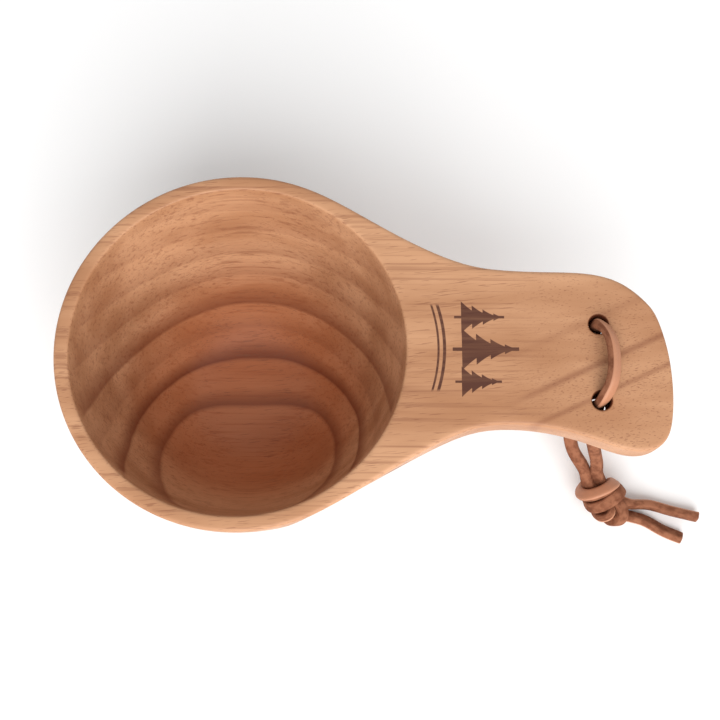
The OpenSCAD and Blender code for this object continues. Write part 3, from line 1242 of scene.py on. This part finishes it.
@dataclass
class Cup:
    """The bowl and its paddle handle, one piece of wood.

    Subdivision draws a ring of this many columns in to the share ring_shrink of its radius, so the
    rings are made larger by as much.
    """

    columns: int = 24
    ring_shrink: float = 0.98864
    height: float = TOP_Z
    foot_r: float = 0.022
    outer_r: float = 0.046
    outer_arc: float = 70.0
    inner_r: float = 0.042
    inner_arc: float = 72.0
    floor_r: float = 0.012
    floor_z: float = 0.007
    band_z: float = 0.0515
    handle_angle: float = 60.0
    neck_x: float = 0.056
    outline_round: float = 0.0011
    rim_round: float = 0.0008
    smooth_levels: int = 3
    hole_r: float = 0.0024
    mouth_round: float = 0.0007
    sections: tuple[HandleSection, ...] = (
        HandleSection(0.0560, -0.0206, 0.0219),
        HandleSection(0.0660, -0.0193, 0.0205),
        HandleSection(0.0770, -0.0201, 0.0201),
        HandleSection(0.0880, -0.0232, 0.0201),
        HandleSection(0.0965, -0.0268, 0.0178),
        HandleSection(0.1029, -0.0262, 0.0118),
    )
    tip_pushes: tuple[TipPush, ...] = (
        TipPush(-0.0240, 0.0095, 0.0021),
        TipPush(-0.0240, 0.0055, 0.0014),
        TipPush(-0.0200, 0.0005, 0.0011),
        TipPush(-0.0145, -0.0040, 0.0005),
    )
    underside_drops: tuple[UndersideDrop, ...] = (
        UndersideDrop(0.0600, 0.018, 0.0010),
        UndersideDrop(0.0530, 0.026, 0.0018),
        UndersideDrop(0.0475, 0.034, 0.0020),
        UndersideDrop(0.0475, 0.024, 0.0025),
    )
    # How much of its width the handle keeps at each of its two first steps out of the bowl.
    root_shares: tuple[float, float] = (0.74, 0.72)

    def wall(
        self, start_r: float, rim_r: float, low_z: float, arc: float, angle: float
    ) -> tuple[float, float]:
        """Radius and height of a point of the bowl's curve.

        Args:
            start_r: The radius where the curve starts, at its lowest.
            rim_r: The radius at the rim.
            low_z: The height where it starts.
            arc: The curve's whole angle, in degrees.
            angle: The point's angle, from 0 to the whole arc.

        Returns:
            The point's radius and height.
        """
        turn, whole = math.radians(angle), math.radians(arc)
        out = math.sin(turn) / math.sin(whole)
        up = (1 - math.cos(turn)) / (1 - math.cos(whole))
        return start_r + (rim_r - start_r) * out, low_z + (self.height - low_z) * up

    def outside(self) -> list[tuple[float, float]]:
        """Rings of the bowl's outside, from the foot's middle up to the rim's outer edge."""
        rings = [(self.foot_r * 0.5, 0.0)]
        for angle in (0, 14, 28, 41, 53, self.band_angle, self.outer_arc):
            rings.append(self.wall(self.foot_r, self.outer_r, 0.0, self.outer_arc, angle))
        return rings

    @property
    def band_angle(self) -> float:
        """The angle of the outside's curve at the height of the handle's underside."""
        whole = 1 - math.cos(math.radians(self.outer_arc))
        return math.degrees(math.acos(1 - whole * self.band_z / self.height))

    def inside(self) -> list[tuple[float, float]]:
        """Rings of the cavity, from the rim's inner edge down to the floor's middle."""
        rings = [
            self.wall(self.floor_r, self.inner_r, self.floor_z, self.inner_arc, angle)
            for angle in (72, 66, 56, 45, 34, 22, 11, 0)
        ]
        return rings + [(self.floor_r * 0.5, self.floor_z)]

    def build(self, wood: bpy.types.Material) -> bpy.types.Object:
        """Builds and dresses the cup.

        Args:
            wood: The cup's material.

        Returns:
            The finished piece.
        """
        rings = [(radius / self.ring_shrink, z) for radius, z in self.outside() + self.inside()]
        cup = turn_body("cup_body", rings, self.columns)
        self.draw_handle(cup)
        self.sweep_underside(cup)
        self.round_edges(cup)
        bpy.ops.object.mode_set(mode="OBJECT")
        apply_modifier(cup, "SUBSURF", levels=self.smooth_levels, render_levels=self.smooth_levels)
        self.cut_holes(cup)
        make_active(cup)
        bpy.ops.object.shade_smooth_by_angle(angle=math.radians(45))
        cup.data.materials.clear()
        cup.data.materials.append(wood)
        cup.data.polygons.foreach_set("material_index", [0] * len(cup.data.polygons))
        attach(cup, "cup")
        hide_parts("cup")
        return cup

    def draw_handle(self, cup: bpy.types.Object) -> None:
        """Extrudes the handle from the bowl's wall, section by section."""
        limit = math.radians(self.handle_angle)
        middle_z = 0.5 * (self.band_z + self.height)

        def is_root(face: bmesh.types.BMFace) -> bool:
            """Whether a face is on the outer wall's top band, on the handle's side."""
            at = face.calc_center_median()
            return (
                abs(at.z - middle_z) < 0.001
                and math.hypot(at.x, at.y) > self.inner_r + 0.002
                and abs(math.atan2(at.y, at.x)) < limit
            )

        count = select_where(cup, "faces", is_root)
        LOG.info("the handle starts from %d faces of the bowl's wall", count)
        neck = (self.neck_x, 0, middle_z)
        edge = self.outer_r / self.ring_shrink * math.sin(limit)
        for distance_left, share in zip((0.5, 0), self.root_shares):
            bpy.ops.mesh.extrude_region_move(TRANSFORM_OT_translate={"value": (0, 0, 0)})
            bpy.ops.transform.resize(value=(distance_left, share, 1), center_override=neck)
            edge *= share
        last = HandleSection(self.neck_x, -edge, edge)
        for section in self.sections:
            if section.x > last.x:
                ahead = (section.x - last.x, 0, 0)
                bpy.ops.mesh.extrude_region_move(TRANSFORM_OT_translate={"value": ahead})
            share = (section.far_y - section.near_y) / (last.far_y - last.near_y)
            old_middle = 0.5 * (last.far_y + last.near_y)
            new_middle = 0.5 * (section.far_y + section.near_y)
            bpy.ops.transform.resize(value=(1, share, 1), center_override=(section.x, old_middle, middle_z))
            bpy.ops.transform.translate(value=(0, new_middle - old_middle, 0))
            last = section
        for tip in self.tip_pushes:
            select_where(
                cup,
                "verts",
                lambda vert: vert.co.x > last.x - 0.001 and tip.near_y < vert.co.y < tip.far_y,
            )
            bpy.ops.transform.translate(value=(tip.push, 0, 0))

    def sweep_underside(self, cup: bpy.types.Object) -> None:
        """Lowers the handle's underside in steps towards the bowl, so it sweeps into the wall."""
        mesh = bmesh.from_edit_mesh(cup.data)
        mesh.verts.index_update()
        under = {
            vert.index
            for vert in mesh.verts
            if abs(vert.co.z - self.band_z) < 0.0002
            and math.hypot(vert.co.x, vert.co.y) > self.outer_r - 0.002
            and vert.co.x > 0.02
        }
        for step in self.underside_drops:
            count = select_where(
                cup,
                "verts",
                lambda vert: vert.index in under
                and math.hypot(vert.co.x, vert.co.y) < step.reach
                and abs(vert.co.y) < step.half_width,
            )
            LOG.info("%d points of the underside lowered", count)
            bpy.ops.transform.translate(value=(0, 0, -step.drop))

    def round_edges(self, cup: bpy.types.Object) -> None:
        """Rounds the outline's upper and lower edges, then the rim's inner edge."""

        def is_outline(edge: bmesh.types.BMEdge) -> bool:
            """Whether an edge lies between the flat top, or the underside, and an outer side face."""
            if len(edge.link_faces) != 2 or self.is_rim(edge):
                return False
            ups = sorted(face.normal.z for face in edge.link_faces)
            on_top = ups[1] > 0.9 and abs(ups[0]) < 0.3
            under = ups[0] < -0.5 and abs(ups[1]) < 0.3
            outside = all(math.hypot(v.co.x, v.co.y) > self.outer_r - 0.002 for v in edge.verts)
            high = all(v.co.z > 0.048 for v in edge.verts)
            return outside and high and (on_top or under)

        count = select_where(cup, "edges", is_outline)
        LOG.info("%d outline edges rounded", count)
        bpy.ops.mesh.bevel(offset=self.outline_round, segments=2, affect="EDGES")
        select_where(cup, "edges", self.is_rim)
        bpy.ops.mesh.bevel(offset=self.rim_round, segments=2, affect="EDGES")

    def is_rim(self, edge: bmesh.types.BMEdge) -> bool:
        """Whether an edge is on the rim's inner circle."""
        radius = self.inner_r / self.ring_shrink
        return all(
            abs(v.co.z - self.height) < 0.0002 and abs(math.hypot(v.co.x, v.co.y) - radius) < 0.0003
            for v in edge.verts
        )

    def cut_holes(self, cup: bpy.types.Object) -> None:
        """Cuts the two lace holes, with rounded mouths."""
        low, high = UNDERSIDE_Z, TOP_Z
        for y in (FAR_HOLE_Y, NEAR_HOLE_Y):
            half = [(self.hole_r, 0.0)]
            for angle in (30, 60, 90):
                turn = math.radians(angle)
                half.append(
                    (
                        self.hole_r + self.mouth_round * (1 - math.cos(turn)),
                        self.mouth_round * (math.sin(turn) - 1) + 0.00002,
                    )
                )
            wide = half[-1][0]
            upper = [(r, high + (z if z else -self.mouth_round)) for r, z in half]
            lower = [(r, low - (z if z else -self.mouth_round)) for r, z in half]
            levels = [(wide, low - 0.002), *lower[::-1], *upper, (wide, high + 0.002)]
            cutter = turn_body("hole_cutter", levels, 48, (HOLE_X, y))
            bpy.ops.object.mode_set(mode="OBJECT")
            apply_modifier(cup, "BOOLEAN", operation="DIFFERENCE", object=cutter, solver="EXACT")
            bpy.data.meshes.remove(cutter.data)


# ---------------------------------------------------------------------------------------------
# The studio
# ---------------------------------------------------------------------------------------------


@dataclass(frozen=True)
class SoftLight:
    """One square soft light that looks at the cup."""

    name: str
    place: Point
    size: float
    power: float
    target: Point = (0.03, 0.0, 0.04)

    def build(self) -> None:
        """Adds the light."""
        data = bpy.data.lights.new(self.name, "AREA")
        data.size = self.size
        data.energy = self.power
        light = bpy.data.objects.new(self.name, data)
        light.location = self.place
        aim = Vector(self.target) - Vector(self.place)
        light.rotation_euler = aim.to_track_quat("-Z", "Y").to_euler()
        bpy.context.scene.collection.objects.link(light)


@dataclass
class Studio:
    """The camera, the floor, the one soft light and the plain sky."""

    camera_place: Point = (0.0305, -0.0866, 0.3729)
    camera_tilt: float = 15.0
    lens: float = 65.0
    floor_half: float = 3.0
    sky: float = 0.62
    key: SoftLight = SoftLight("key", (0.20, -1.20, 1.02), 1.5, 34.0)

    def build(self) -> None:
        """Adds the camera first, then the floor, the light and the plain sky."""
        camera = bpy.data.objects.new("camera", bpy.data.cameras.new("camera"))
        camera.location = self.camera_place
        camera.rotation_euler = (math.radians(self.camera_tilt), 0, 0)
        camera.data.lens = self.lens
        camera.data.clip_start = 0.01
        bpy.context.scene.collection.objects.link(camera)
        bpy.context.scene.camera = camera

        deselect_all()
        bpy.ops.mesh.primitive_plane_add(size=2 * self.floor_half, location=(0, 0, 0))
        floor = bpy.context.object
        floor.name = floor.data.name = "studio_floor"
        floor.data.materials.append(PaperFloor().material())

        self.key.build()
        world = bpy.data.worlds.new("plain_sky")
        world.use_nodes = True
        background = world.node_tree.nodes["Background"]
        background.inputs["Color"].default_value = (1, 1, 1, 1)
        background.inputs["Strength"].default_value = self.sky
        bpy.context.scene.world = world
        bpy.context.scene.view_settings.view_transform = "Standard"


def main() -> None:
    """Builds the studio, the lace and the cup, and reports each piece."""
    logging.basicConfig(level=logging.INFO, format="%(name)s: %(message)s")
    Studio().build()
    pieces = Lace().build(LaceLeather().material())
    pieces.append(Cup().build(OiledWood().material()))
    for piece in pieces:
        LOG.info("%s: %d faces", piece.name, len(piece.data.polygons))
    deselect_all()


if __name__ == "__main__":
    main()
